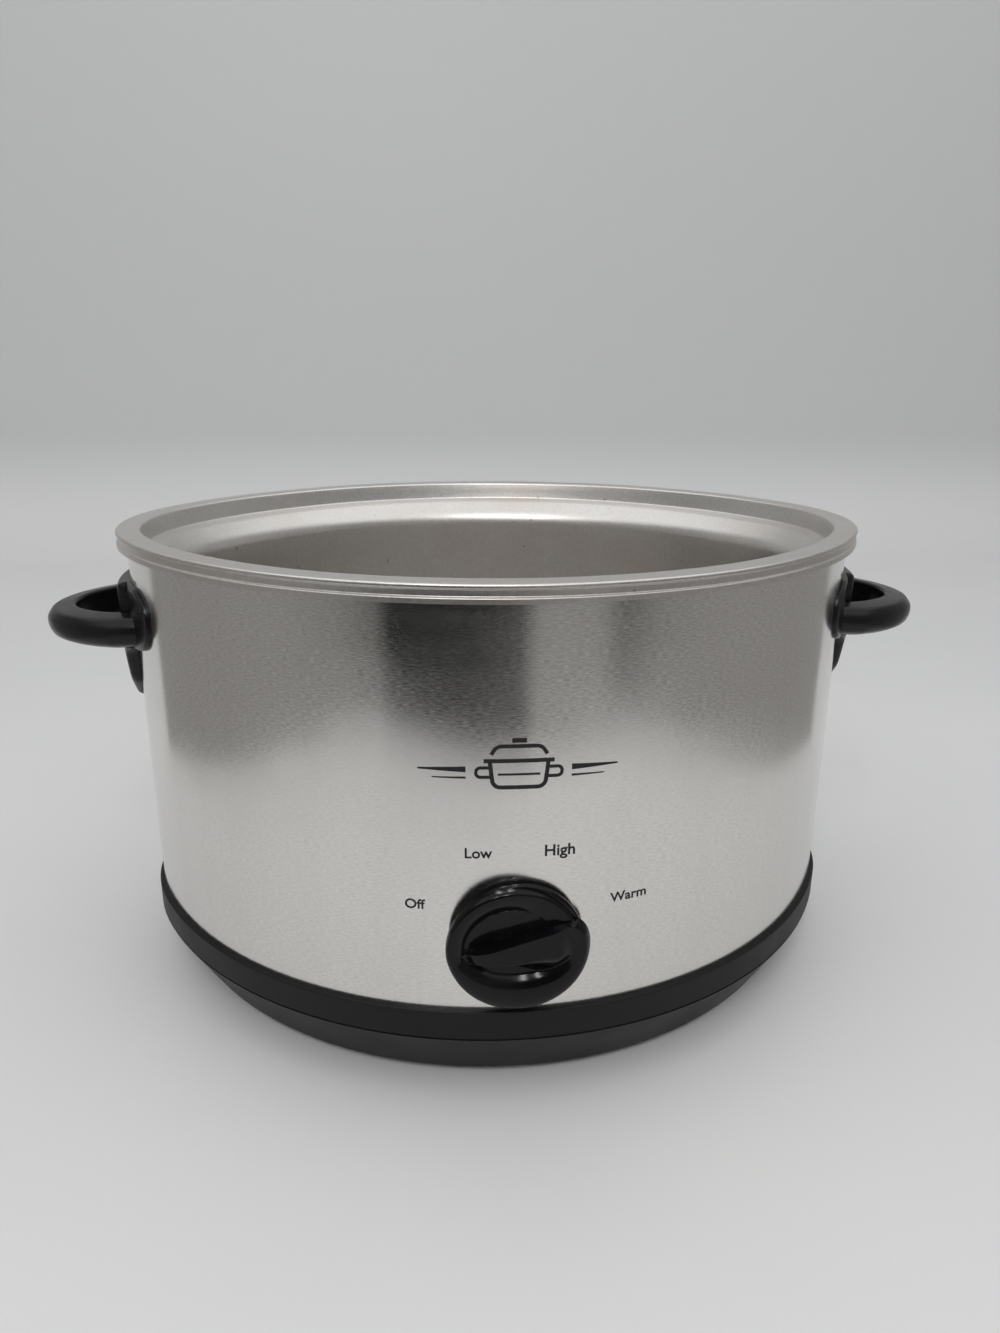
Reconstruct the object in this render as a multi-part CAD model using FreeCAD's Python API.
import FreeCAD, Part
import math
import os

# Heating base of an oval slow cooker, in millimetres, as it stands on a table without its crock and lid.
# The origin is on the table plane under the centre of the oval. +X points right seen from the front,
# +Y points to the back and +Z points up. The switch knob is on the front, at -Y, and points at Warm.

Vec = FreeCAD.Vector
RIGHT = Vec(1, 0, 0)
BACK = Vec(0, 1, 0)
UP = Vec(0, 0, 1)

# Rim oval: two end arcs and two side arcs that meet tangentially. Every wall is an offset of it,
# and offsets are negative inwards.
RIM_HALF_LENGTH = 167.5
RIM_HALF_WIDTH = 139.5
END_RADIUS = 95.5
END_CENTRE = RIM_HALF_LENGTH - END_RADIUS
SIDE_RADIUS = (END_CENTRE**2 + RIM_HALF_WIDTH**2 - END_RADIUS**2) / (2 * (RIM_HALF_WIDTH - END_RADIUS))
SIDE_CENTRE = SIDE_RADIUS - RIM_HALF_WIDTH
JOIN_ANGLE = math.degrees(math.atan2(SIDE_CENTRE, END_CENTRE))
OVAL_ARCS = (
    (Vec(END_CENTRE, 0, 0), END_RADIUS, -JOIN_ANGLE, 2 * JOIN_ANGLE),
    (Vec(0, -SIDE_CENTRE, 0), SIDE_RADIUS, JOIN_ANGLE, 180 - 2 * JOIN_ANGLE),
    (Vec(-END_CENTRE, 0, 0), END_RADIUS, 180 - JOIN_ANGLE, 2 * JOIN_ANGLE),
    (Vec(0, SIDE_CENTRE, 0), SIDE_RADIUS, 180 + JOIN_ANGLE, 180 - 2 * JOIN_ANGLE),
)

GAP = 0.1  # between pieces of the fixed body that lie against each other

# Aluminium well with its rolled rim
RIM_TOP = 210.0
RIM_BOTTOM = 203.0
RIM_WIDTH = 10.0
LINER_SHEET = 0.9
WELL_OFFSET = -23.5
WELL_FLOOR = 51.0
WELL_CORNER = 20.0
LINER_BACK = WELL_OFFSET + LINER_SHEET

# Brushed metal wrap
SHELL_OUTSIDE = -4.0
SHELL_SHEET = 0.8
SHELL_INSIDE = SHELL_OUTSIDE - SHELL_SHEET
SHELL_BOTTOM = 36.0
SHELL_TOP = RIM_TOP - LINER_SHEET - 0.2
SHELL_FRONT = SHELL_OUTSIDE + RIM_HALF_WIDTH
LUG_X = 112.0
LUG_REACH = 18.5
LUG_HALF_WIDTH = 8.0
LUG_SHEET = 1.2
RIVET_RADIUS = 1.5
RIVET_HEAD_RADIUS = 2.7
RIVET_PITCH = 26
RIVET_COLUMN = 4.5
STRIP_HALF_WIDTH = 8.0

# Black moulded base
SKIRT_OUTSIDE = SHELL_OUTSIDE + 2.2
SKIRT_TOP = 41.0
SEAM_HEIGHT = 28.5
TRAY_BOTTOM = 3.2
TRAY_INSET = 16.3
TRAY_FLOOR = 5.7
TRAY_FLOOR_EDGE = -40.0
FOOT_SPOTS = [(x, y) for x in (-90, 90) for y in (-54, 54)]
FOOT_RADIUS = 9.0
POST_RADIUS = 6.0
POST_BORE_TOP = 20.0
BASE_SCREW_RADIUS = 1.9
BASE_SCREW_HEAD = 3.8
STUD_X = 60.0
STUD_RADIUS = 2.5
BOSS_TOP = 14.0
TAG_SHEET = 0.9
TAG_REACH = 19.0
NUT_POCKET = 10.0

# Heater and insulation round the well
HEATER_LOW, HEATER_HIGH = 100.0, 150.0
HEATER_SHEET = 1.8
CLAMP_LOW, CLAMP_HIGH = 118.0, 132.0
CLAMP_SHEET = 0.8
CLAMP_GAP = 18.0
SPRING_RADIUS = 3.0
SPRING_WIRE = 0.45
SPRING_TURNS = 9
WRAP_INSIDE, WRAP_OUTSIDE = -17.5, -8.5
WRAP_LOW, WRAP_HIGH = 66.0, 185.0
PAN_OFFSET = -16.0
PAN_FLOOR = 38.0
PAN_RIM = 47.0
PAN_SHEET = 0.8

# Handles
LOOP_HEIGHT = 167.9  # where the loop leaves its plate; it droops a little towards its tip
LOOP_DROOP = 2.3
LOOP_ROOT = RIM_HALF_LENGTH - 4.5
LOOP_TALL = 14.5
LOOP_THICK = 13.0
HANDLE_REACH = 204.6
LOOP_CENTRE = 151.0
LOOP_LONG = HANDLE_REACH - LOOP_CENTRE - LOOP_THICK / 2
LOOP_WIDE = 39.5
LOOP_TIP_RADIUS = 33.0
LOOP_SIDE_RADIUS = ((LOOP_LONG - LOOP_TIP_RADIUS) ** 2 + LOOP_WIDE**2 - LOOP_TIP_RADIUS**2) / (
    2 * (LOOP_WIDE - LOOP_TIP_RADIUS)
)
SHIELD_THICK = 6.0
SHIELD_HALF_WIDTH = 56.0
SHIELD_TOP = 188.0
SHIELD_WING_BOTTOM = 163.5
SHIELD_TIP = 128.5
BACKING_SHEET = 1.5
HANDLE_SCREW_ANGLE = 15.0
HANDLE_SCREW_HEIGHT = 168.5

# Switch and knob, on an axis that runs front to back
KNOB_HEIGHT = 72.0
KNOB_SKIRT_RADIUS = 25.0
KNOB_RADIUS = 27.2
KNOB_NOTCH_RADIUS = 23.3
KNOB_BACK = -(SHELL_FRONT + 1.0)
KNOB_SKIRT_FRONT = -(SHELL_FRONT + 3.6)
KNOB_RING_FRONT = -(SHELL_FRONT + 7.6)
KNOB_GRIP_FRONT = -(SHELL_FRONT + 10.0)
KNOB_DISH = -(SHELL_FRONT + 4.6)
KNOB_DISH_RADIUS = 19.5
KNOB_HOLLOW = -(SHELL_FRONT + 3.0)
KNOB_REST_TILT = 22.5  # pointer above +X when it points at Warm
SHAFT_RADIUS = 3.0
SHAFT_FLAT = 2.2
SHAFT_GAP = 0.05
SHAFT_FRONT = -(SHELL_FRONT + 8.2)
SWITCH_HALF = 15.0
SWITCH_FRONT = -(SHELL_FRONT - 2.7)
SWITCH_BACK = SWITCH_FRONT + 12.8
SHAFT_BACK = SWITCH_BACK - 1.0
BUSHING_RADIUS = 5.0
BUSHING_FRONT = -(SHELL_FRONT + 0.4)
ROTOR_RADIUS = 9.5
COVER_SHEET = 1.4
TERMINAL_LENGTH = 10.0
TERMINAL_Y = -(RIM_HALF_WIDTH - 13.0)
NEAR, FAR = -200, -100  # front and back ends of cuts along the switch's axis

# Cord gland at the back, and the wiring in the base
GLAND_HEIGHT = 19.0
GLAND_BORE = 3.6
GLAND_BARREL = 6.5
GLAND_FLANGE = 10.0
GLAND_LOCK = 9.0
GLAND_BOSS = 11.5
GLAND_BACK = 145.0
GLAND_FRONT = RIM_HALF_WIDTH - 14.0
BLOCK_HALF = 26.0
BLOCK_FRONT, BLOCK_BACK = 88.0, 106.0
BLOCK_TOP = 22.0
PAD_TOP = 8.0
WIRE_RADIUS = 1.2
WIRE_BEND = 5.0
WIRE_LEVEL = 14.0
RISER_Y = RIM_HALF_WIDTH - 13.5
RISER_LEVEL = 19.5


# ---- drawing helpers ----

def rounded_edges(corners):
    """Edges through (point, radius) corners, each inner corner rounded by a tangent arc."""
    edges = []
    here = corners[0][0]
    for i in range(1, len(corners)):
        point, radius = corners[i]
        if i == len(corners) - 1 or radius == 0:
            edges.append(Part.LineSegment(here, point).toShape())
            here = point
            continue
        back = (corners[i - 1][0] - point).normalize()
        on = (corners[i + 1][0] - point).normalize()
        half = back.getAngle(on) / 2
        reach = radius / math.tan(half)
        bisector = (back + on).normalize()
        start = point + back * reach
        middle = point + bisector * (radius / math.sin(half) - radius)
        end = point + on * reach
        if (start - here).Length > 1e-6:
            edges.append(Part.LineSegment(here, start).toShape())
        edges.append(Part.Arc(start, middle, end).toShape())
        here = end
    return edges


def section_points(corners):
    """(offset, height[, radius]) tuples as corners in the XZ plane."""
    return [(Vec(c[0], 0, c[1]), c[2] if len(c) > 2 else 0) for c in corners]


def closed_face(corners):
    """Face inside a closed run of (point, radius) corners."""
    first = (corners[-1][0] + corners[0][0]) * 0.5
    return Part.Face(Part.Wire(rounded_edges([(first, 0)] + corners + [(first, 0)])))


def section(*corners):
    """Closed section in the XZ plane."""
    return closed_face(section_points(corners))


def band(inside, outside, low, high, radius=0):
    """Rectangular section between two offsets and two heights."""
    return section(
        (inside, low, radius), (outside, low, radius), (outside, high, radius), (inside, high, radius)
    )


def merged(shapes):
    """One solid from shapes that touch or overlap."""
    return shapes[0].fuse(list(shapes[1:])).removeSplitter()


def oval_ring(face):
    """Carry a section (x = offset from the rim oval, z = height) all the way round the oval."""
    sectors = []
    for centre, radius, start, span in OVAL_ARCS:
        placed = face.copy()
        placed.translate(Vec(radius, 0, 0))
        placed.rotate(Vec(), UP, start)
        placed.translate(centre)
        sectors.append(placed.revolve(centre, UP, span))
    return merged(sectors)


def oval_block(offset, low, high):
    """Solid oval between two heights."""
    edges = []
    for centre, radius, start, span in OVAL_ARCS:
        points = []
        for turn in (start, start + span / 2, start + span):
            angle = math.radians(turn)
            reach = radius + offset
            points.append(centre + Vec(reach * math.cos(angle), reach * math.sin(angle), low))
        edges.append(Part.Arc(*points).toShape())
    return Part.Face(Part.Wire(edges)).extrude(UP * (high - low))


def box(x0, x1, y0, y1, z0, z1):
    return Part.makeBox(x1 - x0, y1 - y0, z1 - z0, Vec(x0, y0, z0))


def post(x, y, low, high, radius):
    """Upright cylinder."""
    return Part.makeCylinder(radius, high - low, Vec(x, y, low), UP)


def axle(radius, front, back, x=0.0, z=KNOB_HEIGHT):
    """Cylinder that runs front to back, on the knob's axis unless told otherwise."""
    return Part.makeCylinder(radius, back - front, Vec(x, front, z), BACK)


def hexagon(across, x, y, low, high):
    """Upright hexagonal prism."""
    radius = across / math.sqrt(3)
    corners = [(Vec(x, y, low) + turned(Vec(radius, 0, 0), 60 * k), 0) for k in range(6)]
    return closed_face(corners).extrude(UP * (high - low))


def turned(vector, degrees):
    """A vector turned about the upright axis."""
    angle = math.radians(degrees)
    c, s = math.cos(angle), math.sin(angle)
    return Vec(vector.x * c - vector.y * s, vector.x * s + vector.y * c, vector.z)


def mirrored(shape):
    """The same piece for the other end of the oval."""
    return shape.mirror(Vec(), RIGHT)


def end_pin(radius, inner, outer, angle, height):
    """Cylinder that points away from the right end arc's centre, between two distances from it."""
    aim = turned(RIGHT, angle)
    return Part.makeCylinder(radius, outer - inner, Vec(END_CENTRE, 0, height) + aim * inner, aim)


def side_y(x, offset):
    """Distance from the long axis to the side arc at a given x."""
    return math.sqrt((SIDE_RADIUS + offset) ** 2 - x**2) - SIDE_CENTRE


def tube_along(points, radius, bend):
    """Round wire along straight runs joined by tangent arcs."""
    corners = [(Vec(*p), bend) for p in points]
    path = Part.Wire(rounded_edges(corners))
    aim = (corners[1][0] - corners[0][0]).normalize()
    ring = Part.Wire(Part.makeCircle(radius, corners[0][0], aim))
    return path.makePipeShell([ring], True, False)


# ---- well, shell and base ----

def well_liner():
    """Deep-drawn well: floor, wall, rounded shoulder, step and rolled rim with its beaded skirt."""
    inset = -RIM_WIDTH
    step = inset - 3.9
    face_corners = section_points([
        (0, RIM_BOTTOM), (0, RIM_BOTTOM + 1.9), (-0.9, RIM_BOTTOM + 2.4), (-0.9, RIM_TOP - 1.9),
        (0, RIM_TOP - 1.4), (0, RIM_TOP, 0.9), (inset, RIM_TOP, 1.2), (step, RIM_TOP - 6.3, 1.0),
        (WELL_OFFSET, RIM_TOP - 10.5, 14.0), (WELL_OFFSET, WELL_FLOOR, WELL_CORNER),
        (WELL_OFFSET - WELL_CORNER - 1, WELL_FLOOR),
    ])
    t = LINER_SHEET
    back_corners = section_points([
        (WELL_OFFSET - WELL_CORNER - 1, WELL_FLOOR - t), (LINER_BACK, WELL_FLOOR - t, WELL_CORNER + t),
        (LINER_BACK, RIM_TOP - 10.9, 13.1), (step + 0.5, RIM_TOP - 7.0, 0.5), (inset + 0.5, RIM_TOP - t, 0.4),
        (-1.8, RIM_TOP - t, 0.3), (-1.8, RIM_BOTTOM + 2.1), (-t, RIM_BOTTOM + 1.6), (-t, RIM_BOTTOM),
    ])
    outline = rounded_edges(face_corners) + [line_between(face_corners[-1], back_corners[0])]
    outline += rounded_edges(back_corners) + [line_between(back_corners[-1], face_corners[0])]
    wall = oval_ring(Part.Face(Part.Wire(outline)))
    floor = oval_block(WELL_OFFSET - WELL_CORNER - 1, WELL_FLOOR - t, WELL_FLOOR)
    return merged([wall, floor])


def line_between(first, second):
    return Part.LineSegment(first[0], second[0]).toShape()


def lug_place(side_x, side_back):
    """Angle and centre of the side arc that a shell lug points at, for one of the four lugs."""
    centre = Vec(0, -SIDE_CENTRE * side_back, 0)
    foot = Vec(LUG_X * side_x, side_back * side_y(LUG_X, SHELL_INSIDE), 0)
    return centre, math.degrees(math.atan2(foot.y - centre.y, foot.x))


def lug_spots():
    """Screw positions of the four lugs."""
    spots = []
    for side_x in (-1, 1):
        for side_back in (-1, 1):
            centre, angle = lug_place(side_x, side_back)
            spots.append(centre + turned(RIGHT, angle) * (SIDE_RADIUS + SHELL_INSIDE - LUG_REACH))
    return spots


def shell_lugs():
    """Tabs bent inwards at the shell's bottom edge, one for each base screw."""
    lugs = []
    for side_x in (-1, 1):
        for side_back in (-1, 1):
            centre, angle = lug_place(side_x, side_back)
            outer = SIDE_RADIUS + SHELL_INSIDE + 0.3
            inner = outer - LUG_REACH - 7
            width = LUG_HALF_WIDTH
            lug = box(inner, outer, -width, width, SHELL_BOTTOM, SHELL_BOTTOM + LUG_SHEET)
            lug.rotate(Vec(), UP, angle)
            lug.translate(centre)
            lugs.append(lug)
    return lugs


def rivet_spots():
    """(x, z) of the rivets in the rear lap joint."""
    return [(x, z) for z in range(60, 200, RIVET_PITCH) for x in (-RIVET_COLUMN, RIVET_COLUMN)]


def rivet_holes():
    return [axle(RIVET_RADIUS + 0.1, 115, 145, x, z) for x, z in rivet_spots()]


def outer_shell():
    """Oval wrap of thin metal, open along a slit at the back that the lap strip closes."""
    shell = oval_ring(band(SHELL_INSIDE, SHELL_OUTSIDE, SHELL_BOTTOM, SHELL_TOP))
    shell = merged([shell] + shell_lugs())
    cuts = [box(-0.5, 0.5, 100, 140, 0, 250), axle(BUSHING_RADIUS + 0.2, NEAR, FAR)]
    cuts += [post(s.x, s.y, 30, 45, 2.0) for s in lug_spots()]
    cuts += rivet_holes()
    for angle in (-HANDLE_SCREW_ANGLE, HANDLE_SCREW_ANGLE):
        pin = end_pin(2.3, END_RADIUS - 15, END_RADIUS + 5, angle, HANDLE_SCREW_HEIGHT)
        cuts += [pin, mirrored(pin)]
    return shell.cut(cuts)


def seam_strip():
    """Cover strip over the slit in the wrap."""
    strip = oval_ring(band(SHELL_OUTSIDE + 0.05, SHELL_OUTSIDE + 0.7, SKIRT_TOP + 1, RIM_BOTTOM - 1))
    strip = strip.common(box(-STRIP_HALF_WIDTH, STRIP_HALF_WIDTH, 100, 140, 0, 250))
    return strip.cut(rivet_holes())


def seam_rivets():
    """Blind rivets through the strip and the wrap."""
    rear = RIM_HALF_WIDTH + SHELL_OUTSIDE
    rivets = []
    for x, z in rivet_spots():
        head = axle(RIVET_HEAD_RADIUS, rear + 0.8, rear + 1.6, x, z)
        rivets.append(merged([head, axle(RIVET_RADIUS, rear - 2.2, rear + 0.8, x, z)]))
    return Part.makeCompound(rivets)


def tray_section():
    """Section of the moulded base: skirt with a ledge for the shell, seam groove and a tub that tapers inwards."""
    return section(
        (SKIRT_OUTSIDE, SKIRT_TOP, 0.7), (SKIRT_OUTSIDE, SEAM_HEIGHT + 0.5),
        (SKIRT_OUTSIDE - 0.7, SEAM_HEIGHT + 0.3), (SKIRT_OUTSIDE - 0.7, SEAM_HEIGHT - 0.3),
        (SKIRT_OUTSIDE - 0.2, SEAM_HEIGHT - 0.5), (-TRAY_INSET, TRAY_BOTTOM, 3.0),
        (TRAY_FLOOR_EDGE, TRAY_BOTTOM), (TRAY_FLOOR_EDGE, TRAY_FLOOR),
        (-TRAY_INSET - 1.6, TRAY_FLOOR, 2.0), (SKIRT_OUTSIDE - 3.6, SEAM_HEIGHT),
        (SHELL_INSIDE - 0.6, SHELL_BOTTOM), (SHELL_OUTSIDE + 0.05, SHELL_BOTTOM),
        (SHELL_OUTSIDE + 0.05, SKIRT_TOP),
    )


def vent_slots():
    """Rows of rounded slots through the base floor."""
    slots = []
    for side in (-1, 1):
        for k in range(-3, 4):
            x = k * 11.0
            y = side * 30.0
            slot = box(x - 2, x + 2, y - 9, y + 9, 0, 9)
            slots += [slot, post(x, y - 9, 0, 9, 2), post(x, y + 9, 0, 9, 2)]
    return slots


def base_tray():
    """Black moulded base with bosses, screw posts, vents and the hole for the cord gland."""
    body = merged([oval_ring(tray_section()), oval_block(TRAY_FLOOR_EDGE, TRAY_BOTTOM, TRAY_FLOOR)])
    top = SHELL_BOTTOM - GAP
    added = [post(s.x, s.y, TRAY_BOTTOM + 1, top, POST_RADIUS) for s in lug_spots()]
    added += [post(x, 0, TRAY_BOTTOM + 1, BOSS_TOP, 10.0) for x in (-STUD_X, STUD_X)]
    added += [box(-BLOCK_HALF, BLOCK_HALF, BLOCK_FRONT, BLOCK_BACK, TRAY_FLOOR - 1, PAD_TOP)]
    rear = RIM_HALF_WIDTH + SKIRT_OUTSIDE
    added += [axle(GLAND_BOSS, GLAND_FRONT - 1, rear, 0, GLAND_HEIGHT)]
    body = merged([body] + added)
    cuts = vent_slots()
    cuts += [post(s.x, s.y, 0, POST_BORE_TOP, 4.3) for s in lug_spots()]
    cuts += [post(s.x, s.y, 0, 50, BASE_SCREW_RADIUS + 0.2) for s in lug_spots()]
    cuts += [post(x, 0, 0, NUT_POCKET, 7.5) for x in (-STUD_X, STUD_X)]
    cuts += [post(x, 0, 0, 30, STUD_RADIUS + 0.3) for x in (-STUD_X, STUD_X)]
    cuts += [post(x, y, 0, 12, 3.0) for x, y in FOOT_SPOTS]
    cuts += [axle(GLAND_BARREL + 0.1, 100, 150, 0, GLAND_HEIGHT)]
    cuts += [axle(GLAND_LOCK + 0.2, 100, GLAND_FRONT + 4 + GAP, 0, GLAND_HEIGHT)]
    return body.cut(cuts)


def rubber_feet():
    """Four feet pushed into holes in the base floor."""
    feet = []
    for x, y in FOOT_SPOTS:
        pad = post(x, y, 0, TRAY_BOTTOM - 0.05, FOOT_RADIUS)
        pad = pad.makeFillet(0.8, [e for e in pad.Edges if abs(e.CenterOfMass.z) < 0.01])
        barb = Part.makeCone(3.9, 2.4, 2.2, Vec(x, y, TRAY_FLOOR + 0.05), UP)
        feet.append(merged([pad, post(x, y, 1, TRAY_FLOOR + 1, 2.9), barb]))
    return Part.makeCompound(feet)


def base_screws():
    """Pan-head screws from below, up through the posts into the shell's lugs."""
    screws = []
    for s in lug_spots():
        head = post(s.x, s.y, POST_BORE_TOP - 2.6, POST_BORE_TOP - GAP, BASE_SCREW_HEAD)
        head = head.makeFillet(1.0, [e for e in head.Edges if e.CenterOfMass.z < POST_BORE_TOP - 2.5])
        drive = post(s.x, s.y, POST_BORE_TOP - 3, POST_BORE_TOP - 1.4, 1.3)
        shank = post(s.x, s.y, POST_BORE_TOP - 1, SHELL_BOTTOM + 5, BASE_SCREW_RADIUS)
        screws.append(merged([head, shank]).cut(drive))
    return Part.makeCompound(screws)


def rating_plate():
    """Blank plate glued under the base."""
    plate = box(-30, 30, 52, 80, TRAY_BOTTOM - 0.45, TRAY_BOTTOM - 0.05)
    return plate.makeFillet(3.0, [e for e in plate.Edges if abs(e.tangentAt(e.FirstParameter).z) > 0.9])


# ---- heater, insulation and what holds the well down ----

def rear_box(half, low, high):
    """Block that cuts a window through the back wall of a ring."""
    return box(-half, half, 80, 150, low, high)


def heater_band():
    """Heating element wrapped round the well, with its ends apart at the back."""
    inside = LINER_BACK + GAP
    ring = oval_ring(band(inside, inside + HEATER_SHEET, HEATER_LOW, HEATER_HIGH))
    return ring.cut(rear_box(8, 50, 200))


def heater_terminals():
    """Two flat tabs on the lower edge of the element, at the back."""
    inside = LINER_BACK + 1.1
    ring = oval_ring(band(inside, inside + 0.8, HEATER_LOW - 14, HEATER_LOW - GAP))
    tabs = [ring.common(box(x - 3.2, x + 3.2, 80, 150, 50, 200)) for x in (-20, 20)]
    return Part.makeCompound(tabs)


def clamp_inside():
    return LINER_BACK + HEATER_SHEET + 2 * GAP


def heater_clamp():
    """Steel strap that holds the element to the well, with ears for the spring."""
    inside = clamp_inside()
    ring = oval_ring(band(inside, inside + CLAMP_SHEET, CLAMP_LOW, CLAMP_HIGH))
    ring = ring.cut(rear_box(CLAMP_GAP, 50, 200))
    foot = side_y(CLAMP_GAP, inside)
    ears = [
        box(x, x + 1.0, foot, foot + 9, CLAMP_LOW, CLAMP_HIGH) for x in (-CLAMP_GAP - 1.0, CLAMP_GAP)
    ]
    return merged([ring] + ears)


def clamp_spring():
    """Tension spring between the strap's ears."""
    reach = CLAMP_GAP - 0.6
    pitch = 2 * reach / SPRING_TURNS
    helix = Part.makeHelix(pitch, 2 * reach, SPRING_RADIUS)
    ring = Part.Wire(Part.makeCircle(SPRING_WIRE, Vec(SPRING_RADIUS, 0, 0), BACK))
    coil = Part.Wire(helix).makePipeShell([ring], True, True)
    coil.rotate(Vec(), BACK, 90)
    centre_y = side_y(CLAMP_GAP, clamp_inside()) + 5.0
    coil.translate(Vec(-reach, centre_y, (CLAMP_LOW + CLAMP_HIGH) / 2))
    return coil


def insulation_wrap():
    """Fibre blanket between the element and the shell, with windows for the switch and the spring."""
    ring = oval_ring(band(WRAP_INSIDE, WRAP_OUTSIDE, WRAP_LOW, WRAP_HIGH, 2.0))
    front_window = box(-24, 24, NEAR, FAR, 0, KNOB_HEIGHT + 22)
    return ring.cut([front_window, rear_box(CLAMP_GAP + 8, 78, CLAMP_HIGH + 10)])


def heat_reflector():
    """Shallow aluminium pan under the well."""
    wall = oval_ring(band(PAN_OFFSET - PAN_SHEET, PAN_OFFSET, PAN_FLOOR, PAN_RIM))
    floor = oval_block(PAN_OFFSET - PAN_SHEET, PAN_FLOOR, PAN_FLOOR + PAN_SHEET)
    pan = merged([wall, floor])
    holes = [post(x, 0, 30, 50, STUD_RADIUS + 0.3) for x in (-STUD_X, STUD_X)]
    holes += [post(s.x, s.y, 30, 50, POST_RADIUS) for s in lug_spots()]
    return pan.cut(holes)


def liner_studs():
    """Threaded studs welded under the well."""
    top = WELL_FLOOR - LINER_SHEET
    studs = []
    for x in (-STUD_X, STUD_X):
        foot = post(x, 0, top - 1.6, top, 6.0)
        studs.append(merged([foot, post(x, 0, TRAY_BOTTOM + 1.0, top - 1, STUD_RADIUS)]))
    return Part.makeCompound(studs)


def stud_spacers():
    """Tubes that carry the reflector on the base bosses."""
    tubes = []
    for x, low in ((-STUD_X, BOSS_TOP), (STUD_X, BOSS_TOP + TAG_SHEET)):
        tube = post(x, 0, low, PAN_FLOOR - GAP, 5.0)
        tubes.append(tube.cut(post(x, 0, 0, 60, STUD_RADIUS + 0.3)))
    return Part.makeCompound(tubes)


def stud_nuts():
    """Hexagon nuts in the pockets under the base."""
    nuts = []
    for x in (-STUD_X, STUD_X):
        nut = hexagon(8.0, x, 0, NUT_POCKET - 4.3, NUT_POCKET - 0.3)
        nuts.append(nut.cut(post(x, 0, 0, 20, STUD_RADIUS + 0.05)))
    return Part.makeCompound(nuts)


def thermal_fuse():
    """Cut-out capsule held against the underside of the well."""
    return Part.makeCylinder(2.0, 16, Vec(-8, 34, WELL_FLOOR - LINER_SHEET - 2.4), RIGHT)


def fuse_clip():
    """Saddle over the cut-out, with two feet against the well."""
    top = WELL_FLOOR - LINER_SHEET - GAP
    saddle = box(-4, 4, 31, 37, top - 5.4, top)
    saddle = saddle.cut(box(-5, 5, 31.8, 36.2, top - 4.6, top + 1))
    feet = [box(-4, 4, y, y + 6, top - 0.8, top) for y in (25.2, 36.8)]
    return merged([saddle] + feet)


# ---- switch and knob ----

def switch_bracket():
    """Curved plate behind the shell that stiffens it round the switch."""
    ring = oval_ring(band(SHELL_INSIDE - 1.1, SHELL_INSIDE - GAP, KNOB_HEIGHT - 17, KNOB_HEIGHT + 17))
    plate = ring.common(box(-20, 20, NEAR, FAR, 0, 200))
    edge = SWITCH_HALF + GAP
    low, high = KNOB_HEIGHT - 10, KNOB_HEIGHT + 10
    ears = [box(x, x + 1.0, SWITCH_FRONT - 1.0, SWITCH_BACK - 1, low, high) for x in (-edge - 1.0, edge)]
    return merged([plate] + ears).cut(axle(BUSHING_RADIUS + 0.2, NEAR, FAR))


def switch_body():
    """Switch housing with its threaded bushing and the rotor's chamber, open at the back."""
    low, high = KNOB_HEIGHT - SWITCH_HALF, KNOB_HEIGHT + SWITCH_HALF
    case = box(-SWITCH_HALF, SWITCH_HALF, SWITCH_FRONT, SWITCH_BACK, low, high)
    case = merged([case, axle(BUSHING_RADIUS, BUSHING_FRONT, SWITCH_FRONT + 1)])
    chamber = axle(ROTOR_RADIUS + 0.5, SWITCH_FRONT + 3.0, SWITCH_BACK + 1)
    return case.cut([chamber, axle(SHAFT_RADIUS + SHAFT_GAP, NEAR, FAR)])


def switch_cover():
    """Plate that closes the rotor's chamber."""
    low, high = KNOB_HEIGHT - SWITCH_HALF, KNOB_HEIGHT + SWITCH_HALF
    return box(-SWITCH_HALF, SWITCH_HALF, SWITCH_BACK + 0.05, SWITCH_BACK + 0.05 + COVER_SHEET, low, high)


def switch_terminals():
    """Flat tabs under the switch."""
    top = KNOB_HEIGHT - SWITCH_HALF - GAP
    low = top - TERMINAL_LENGTH
    tabs = [box(x - 2.4, x + 2.4, TERMINAL_Y - 0.4, TERMINAL_Y + 0.4, low, top) for x in (-8, 0, 8)]
    return Part.makeCompound(tabs)


def switch_rotor():
    """Cam that turns with the shaft inside the switch."""
    drum = axle(ROTOR_RADIUS, SWITCH_FRONT + 3.4, SWITCH_BACK - 0.4)
    lobes = []
    for k in range(4):
        turn = math.radians(45 * k + KNOB_REST_TILT)
        reach = ROTOR_RADIUS + 0.3
        lobes.append(axle(1.3, NEAR, FAR, reach * math.cos(turn), KNOB_HEIGHT + reach * math.sin(turn)))
    return drum.cut(lobes + [axle(SHAFT_RADIUS + 0.02, NEAR, FAR)])


def shaft_bar(radius, flat, front, back):
    """D-shaped bar in the knob frame: round, with a flat on the lower side."""
    bar = axle(radius, front, back)
    flat_top = KNOB_HEIGHT - flat
    return bar.cut(box(-radius - 1, radius + 1, front - 1, KNOB_BACK + 0.5, 0, flat_top))


def tilted(shape):
    """Turn a piece drawn with its pointer to the right so that it points at Warm."""
    shape.rotate(Vec(0, 0, KNOB_HEIGHT), BACK, -KNOB_REST_TILT)
    return shape


def knob_shaft():
    """Shaft of the switch, flatted where the knob grips it."""
    return tilted(shaft_bar(SHAFT_RADIUS, SHAFT_FLAT, SHAFT_FRONT, SHAFT_BACK))


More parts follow.
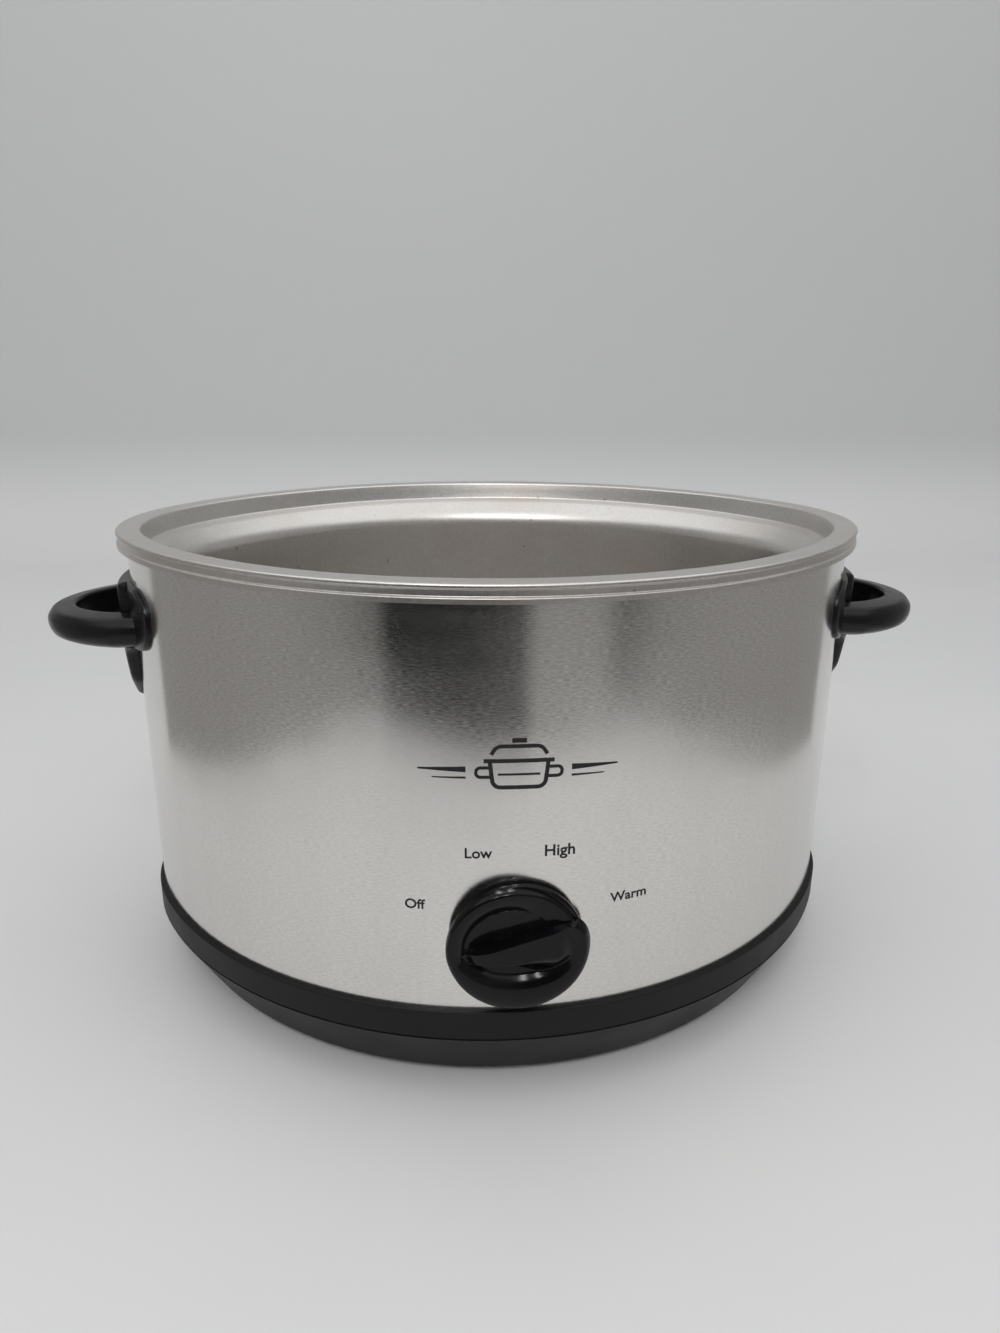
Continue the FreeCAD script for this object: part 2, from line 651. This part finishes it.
def knob_outline(back, front):
    """Spiral outline of the knob, pointer to the right: full circle below, smaller arc above, and a tab."""
    def at(radius, degrees):
        angle = math.radians(degrees)
        return Vec(radius * math.cos(angle), back, KNOB_HEIGHT + radius * math.sin(angle))
    tail = at(KNOB_RADIUS, 180)
    notch = at(KNOB_NOTCH_RADIUS, 2)
    tab = at(KNOB_RADIUS, -10)
    above = at((KNOB_RADIUS + KNOB_NOTCH_RADIUS) / 2, 88)
    edges = [
        Part.Arc(tab, at(KNOB_RADIUS, -90), tail).toShape(),
        Part.Arc(tail, above, notch).toShape(),
        Part.Arc(notch, at(KNOB_RADIUS - 1.2, -2), tab).toShape(),
    ]
    return Part.Face(Part.Wire(edges)).extrude(Vec(0, front - back, 0))


def knob_grip():
    """Wedge across the dish: straight above, narrow at the tail and wide where it meets the tab."""
    corners = [(-22.0, 3.2), (20.5, 3.2), (22.0, -8.5), (8.0, -8.5), (-22.0, 1.0)]
    wedge = [(Vec(u, KNOB_DISH + 0.5, KNOB_HEIGHT + v), 0.8) for u, v in corners]
    grip = closed_face(wedge).extrude(Vec(0, KNOB_GRIP_FRONT - KNOB_DISH - 0.5, 0))
    return grip.makeFillet(1.0, [e for e in grip.Edges if e.CenterOfMass.y < KNOB_GRIP_FRONT + 0.01])


def knob():
    """Black switch knob: round skirt, spiral ring, dish and wedge grip."""
    ring = knob_outline(KNOB_SKIRT_FRONT + 0.5, KNOB_RING_FRONT)
    ring = ring.makeFillet(1.8, [e for e in ring.Edges if e.CenterOfMass.y < KNOB_RING_FRONT + 0.01])
    dish = axle(KNOB_DISH_RADIUS, KNOB_RING_FRONT - 1, KNOB_DISH)
    dish = dish.makeFillet(1.5, [e for e in dish.Edges if e.CenterOfMass.y > KNOB_DISH - 0.01])
    skirt = axle(KNOB_SKIRT_RADIUS, KNOB_SKIRT_FRONT, KNOB_BACK)
    body = merged([skirt, ring]).cut(dish)
    hollow = axle(20.0, KNOB_HOLLOW, KNOB_BACK + 1)
    bore = shaft_bar(SHAFT_RADIUS + 0.05, SHAFT_FLAT + 0.05, SHAFT_FRONT - 0.3, KNOB_BACK + 1)
    return tilted(merged([body, knob_grip()]).cut([hollow, bore]))


def knob_clip():
    """Spring ring round the shaft where it enters the knob."""
    front = KNOB_HOLLOW + GAP
    ring = axle(4.6, front, front + 0.8).cut(axle(SHAFT_RADIUS + 0.1, NEAR, FAR))
    return tilted(ring.cut(box(-1, 1, NEAR, FAR, KNOB_HEIGHT, KNOB_HEIGHT + 10)))


# ---- handles ----

def shield_outline():
    """Outline of the handle's plate seen from the end: rounded wings and a tongue down to a blunt tip."""
    wing = SHIELD_HALF_WIDTH
    corners = [
        (wing, SHIELD_TOP, 12.0), (wing, SHIELD_WING_BOTTOM, 11.5), (27.0, 157.5, 9.0),
        (21.0, 140.0, 12.0), (8.0, SHIELD_TIP, 7.0),
    ]
    points = [(Vec(90, y, z), r) for y, z, r in corners]
    points += [(Vec(90, -y, z), r) for y, z, r in reversed(corners)]
    return closed_face(points).extrude(RIGHT * 120)


def handle_loop():
    """Rounded bar bent round half an oval into a finger loop that droops towards its tip."""
    root = Vec(LOOP_CENTRE - 8, -LOOP_WIDE, LOOP_HEIGHT)
    start = Vec(LOOP_CENTRE, -LOOP_WIDE, LOOP_HEIGHT)
    side = Vec(LOOP_CENTRE, LOOP_SIDE_RADIUS - LOOP_WIDE, LOOP_HEIGHT)
    tip = Vec(LOOP_CENTRE + LOOP_LONG - LOOP_TIP_RADIUS, 0, LOOP_HEIGHT)
    meet = math.degrees(math.atan2(side.y, tip.x - side.x))
    near = [side + turned(RIGHT, a) * LOOP_SIDE_RADIUS for a in (-(90 + meet) / 2, -meet)]
    nose = [tip + turned(RIGHT, a) * LOOP_TIP_RADIUS for a in (0, meet)]
    far = [Vec(p.x, -p.y, p.z) for p in (near[0], start, root)]
    bend = Part.Wire([
        Part.LineSegment(root, start).toShape(),
        Part.Arc(start, *near).toShape(),
        Part.Arc(near[1], *nose).toShape(),
        Part.Arc(nose[1], far[0], far[1]).toShape(),
        Part.LineSegment(far[1], far[2]).toShape(),
    ])
    half, tall, radius = LOOP_THICK / 2, LOOP_TALL / 2, 5.0
    corners = [(-half, -tall), (half, -tall), (half, tall), (-half, tall)]
    ring = [(root + Vec(0, y, z), radius) for y, z in corners]
    loop = bend.makePipeShell([closed_face(ring).OuterWire], True, False)
    loop.rotate(Vec(LOOP_ROOT, 0, LOOP_HEIGHT), BACK, LOOP_DROOP)
    return loop


def handle():
    """Right handle: finger loop and shield-shaped plate in one moulding."""
    plate = oval_ring(band(SHELL_OUTSIDE + GAP, SHELL_OUTSIDE + SHIELD_THICK, 120, 200, 1.2))
    plate = plate.common(shield_outline())
    loop = handle_loop().cut(oval_block(SHELL_OUTSIDE + GAP + 1, 100, 220))
    holes = [
        end_pin(1.7, END_RADIUS - 15, END_RADIUS + 0.2, a, HANDLE_SCREW_HEIGHT)
        for a in (-HANDLE_SCREW_ANGLE, HANDLE_SCREW_ANGLE)
    ]
    return merged([plate, loop]).cut(holes)


def handle_backing():
    """Curved steel plate inside the shell, behind a handle."""
    ring = oval_ring(band(SHELL_INSIDE - GAP - BACKING_SHEET, SHELL_INSIDE - GAP, 158, 182))
    plate = ring.common(box(100, 200, -34, 34, 0, 250))
    return plate.cut([
        end_pin(2.3, END_RADIUS - 15, END_RADIUS + 5, a, HANDLE_SCREW_HEIGHT)
        for a in (-HANDLE_SCREW_ANGLE, HANDLE_SCREW_ANGLE)
    ])


def handle_screws():
    """Screws from inside the shell into the handles, two for each."""
    seat = END_RADIUS + SHELL_INSIDE - 2 * GAP - BACKING_SHEET
    screws = []
    for angle in (-HANDLE_SCREW_ANGLE, HANDLE_SCREW_ANGLE):
        head = end_pin(3.6, seat - 1.8, seat - 0.1, angle, HANDLE_SCREW_HEIGHT)
        shank = end_pin(1.6, seat - 1, END_RADIUS, angle, HANDLE_SCREW_HEIGHT)
        screw = merged([head, shank])
        screws += [screw, mirrored(screw)]
    return Part.makeCompound(screws)


# ---- cord gland and wiring ----

def cord_gland():
    """Bushing that the supply cord goes through at the back; the cord itself is not part of this model."""
    rear = RIM_HALF_WIDTH + SKIRT_OUTSIDE + GAP
    barrel = axle(GLAND_BARREL, GLAND_FRONT, rear + 1, 0, GLAND_HEIGHT)
    collar = axle(GLAND_FLANGE, rear, rear + 2.4, 0, GLAND_HEIGHT)
    nose = Part.makeCone(8.0, 6.0, GLAND_BACK - rear - 2.4, Vec(0, rear + 2.4, GLAND_HEIGHT), BACK)
    lock = axle(GLAND_LOCK, GLAND_FRONT, GLAND_FRONT + 4, 0, GLAND_HEIGHT)
    body = merged([barrel, collar, nose, lock])
    return body.cut(axle(GLAND_BORE, GLAND_FRONT - 5, GLAND_BACK + 5, 0, GLAND_HEIGHT))


def well_spots():
    """(x, y) of the screw wells in the terminal block."""
    return [(x, y) for x in (-20, -7, 7, 20) for y in (BLOCK_FRONT + 5, BLOCK_BACK - 5)]


def terminal_block():
    """Insulating block with screw wells, on its pad in the base."""
    block = box(-BLOCK_HALF, BLOCK_HALF, BLOCK_FRONT, BLOCK_BACK, PAD_TOP + GAP, BLOCK_TOP)
    return block.cut([post(x, y, BLOCK_TOP - 4, BLOCK_TOP + 1, 2.6) for x, y in well_spots()])


def block_screws():
    """Clamping screws in the wells of the terminal block."""
    screws = []
    for x, y in well_spots():
        slot = box(x - 3, x + 3, y - 0.3, y + 0.3, BLOCK_TOP - 1.8, BLOCK_TOP)
        screws.append(post(x, y, BLOCK_TOP - 4, BLOCK_TOP - 1, 2.3).cut(slot))
    return Part.makeCompound(screws)


def heater_wires():
    """Leads from the terminal block up the back to the heater's two tabs."""
    tab_y = side_y(20, LINER_BACK + 1.5)
    wires = []
    for x in (-20, 20):
        points = [
            (x, BLOCK_BACK + GAP, RISER_LEVEL), (x, RISER_Y, RISER_LEVEL), (x, RISER_Y, 57),
            (x, tab_y, 57), (x, tab_y, HEATER_LOW - 14 - GAP),
        ]
        wires.append(tube_along(points, WIRE_RADIUS, 4.0))
    return Part.makeCompound(wires)


def switch_wires():
    """Leads from the terminal block under the reflector to the switch's tabs at the front."""
    wires = []
    for x in (-8, 8):
        points = [
            (x, BLOCK_FRONT - GAP, WIRE_LEVEL), (x, TERMINAL_Y, WIRE_LEVEL),
            (x, TERMINAL_Y, KNOB_HEIGHT - SWITCH_HALF - TERMINAL_LENGTH - 2 * GAP),
        ]
        wires.append(tube_along(points, WIRE_RADIUS, WIRE_BEND))
    return Part.makeCompound(wires)


def earth_wire():
    """Earth lead from the terminal block to the tag on the right stud."""
    level = BOSS_TOP + TAG_SHEET + WIRE_RADIUS + GAP
    row = BLOCK_BACK - 9
    points = [(BLOCK_HALF + GAP, row, level), (STUD_X, row, level), (STUD_X, TAG_REACH - 7, level)]
    return tube_along(points, WIRE_RADIUS, WIRE_BEND * 2)


def earth_tag():
    """Ring tag held between the right boss and its spacer; its tongue reaches back under the earth lead."""
    low, high = BOSS_TOP, BOSS_TOP + TAG_SHEET
    ring = merged([post(STUD_X, 0, low, high, 6.0), box(STUD_X - 2, STUD_X + 2, 3, TAG_REACH, low, high)])
    return ring.cut(post(STUD_X, 0, 0, 60, STUD_RADIUS + 0.2))


def write_parts():
    pieces = {
        "outer_shell": outer_shell(),
        "seam_strip": seam_strip(),
        "seam_rivets": seam_rivets(),
        "well_liner": well_liner(),
        "base_tray": base_tray(),
        "rubber_feet": rubber_feet(),
        "base_screws": base_screws(),
        "rating_plate": rating_plate(),
        "heat_reflector": heat_reflector(),
        "liner_studs": liner_studs(),
        "stud_spacers": stud_spacers(),
        "stud_nuts": stud_nuts(),
        "heater_band": heater_band(),
        "heater_terminals": heater_terminals(),
        "heater_clamp": heater_clamp(),
        "clamp_spring": clamp_spring(),
        "insulation_wrap": insulation_wrap(),
        "thermal_fuse": thermal_fuse(),
        "fuse_clip": fuse_clip(),
        "switch_bracket": switch_bracket(),
        "switch_body": switch_body(),
        "switch_cover": switch_cover(),
        "switch_terminals": switch_terminals(),
        "switch_rotor": switch_rotor(),
        "knob_shaft": knob_shaft(),
        "knob_clip": knob_clip(),
        "knob": knob(),
        "right_handle": handle(),
        "left_handle": mirrored(handle()),
        "right_handle_backing": handle_backing(),
        "left_handle_backing": mirrored(handle_backing()),
        "handle_screws": handle_screws(),
        "cord_gland": cord_gland(),
        "terminal_block": terminal_block(),
        "block_screws": block_screws(),
        "heater_wires": heater_wires(),
        "switch_wires": switch_wires(),
        "earth_wire": earth_wire(),
        "earth_tag": earth_tag(),
    }
    os.makedirs("parts", exist_ok=True)
    for name, shape in pieces.items():
        shape.exportStep("parts/" + name + ".step")
        size = shape.BoundBox
        print(name, len(shape.Solids), "valid" if shape.isValid() else "NOT VALID", round(shape.Volume),
              [round(v, 1) for v in (size.XMin, size.XMax, size.YMin, size.YMax, size.ZMin, size.ZMax)])


write_parts()
